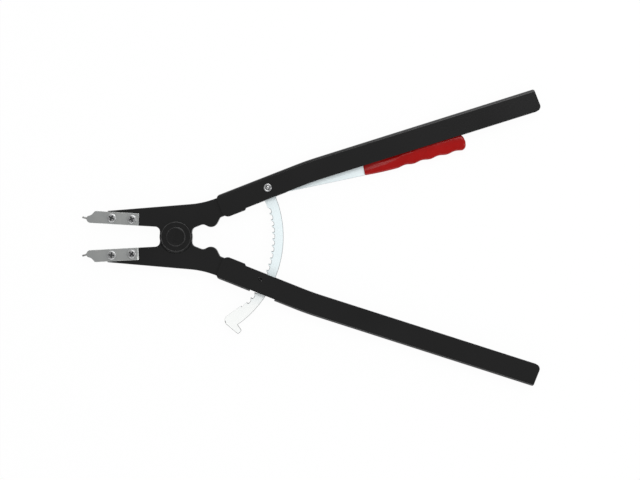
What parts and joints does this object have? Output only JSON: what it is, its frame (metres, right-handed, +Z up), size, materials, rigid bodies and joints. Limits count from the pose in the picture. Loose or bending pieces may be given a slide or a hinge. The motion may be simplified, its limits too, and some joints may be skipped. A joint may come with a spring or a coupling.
{
  "type": "circlip pliers",
  "caption": "Large external circlip pliers with lapped jaws, screwed-on pin tips, folded channel handles, a toothed ratchet bar and a red squeeze release lever.",
  "frame": {"origin": "on the main pivot axis, at the back rivet head's flat face, which lies in the plane that the tool rests on", "axes": "+X along the tool towards the handle ends, +Y towards the handle that carries the ratchet lever, +Z up out of the resting plane"},
  "size_m": [0.5612, 0.363, 0.0158],
  "materials": {
    "black_coat": "satin black coating",
    "black_pivot": "satin black oxide",
    "tip_steel": "ground grey steel",
    "hard_steel": "hardened steel",
    "bright_fasteners": "bright plated",
    "zinc_plate": "bright zinc plated",
    "red_plastic": "moulded, satin"
  },
  "bodies": {
    "upper_lever": {"upper_jaw": "black_coat", "upper_handle": "black_coat", "upper_tip": "tip_steel", "upper_tip_pin": "hard_steel", "upper_tip_screw_front": "bright_fasteners", "upper_tip_screw_rear": "bright_fasteners", "pivot_rivet": "black_pivot", "pivot_washer_front": "black_pivot", "pivot_washer_back": "black_pivot", "lever_rivet": "bright_fasteners", "lever_spacer_front": "zinc_plate", "lever_spacer_back": "zinc_plate", "lever_spring": "hard_steel"},
    "lower_lever": {"lower_jaw": "black_coat", "lower_handle": "black_coat", "lower_tip": "tip_steel", "lower_tip_pin": "hard_steel", "lower_tip_screw_front": "bright_fasteners", "lower_tip_screw_rear": "bright_fasteners", "pawl_pin": "black_pivot"},
    "ratchet": {"ratchet_lever": "zinc_plate", "lever_grip": "red_plastic"}
  },
  "joints": [
    {"name": "jaw_pivot", "type": "hinge", "parent": "upper_lever", "child": "lower_lever", "pos_m": [0, 0, 0], "axis": [0, 0, 1], "range_deg": [-15.2, 30.4]},
    {"name": "ratchet_pivot", "type": "hinge", "parent": "upper_lever", "child": "ratchet", "pos_m": [0.11239, 0.06039, 0.007], "axis": [0, 0, 1], "range_deg": [-1.1, 4], "stiffness_Nm_per_rad": 0.6, "springref_deg": -34.38, "deforming": ["lever_spring"]}
  ]
}
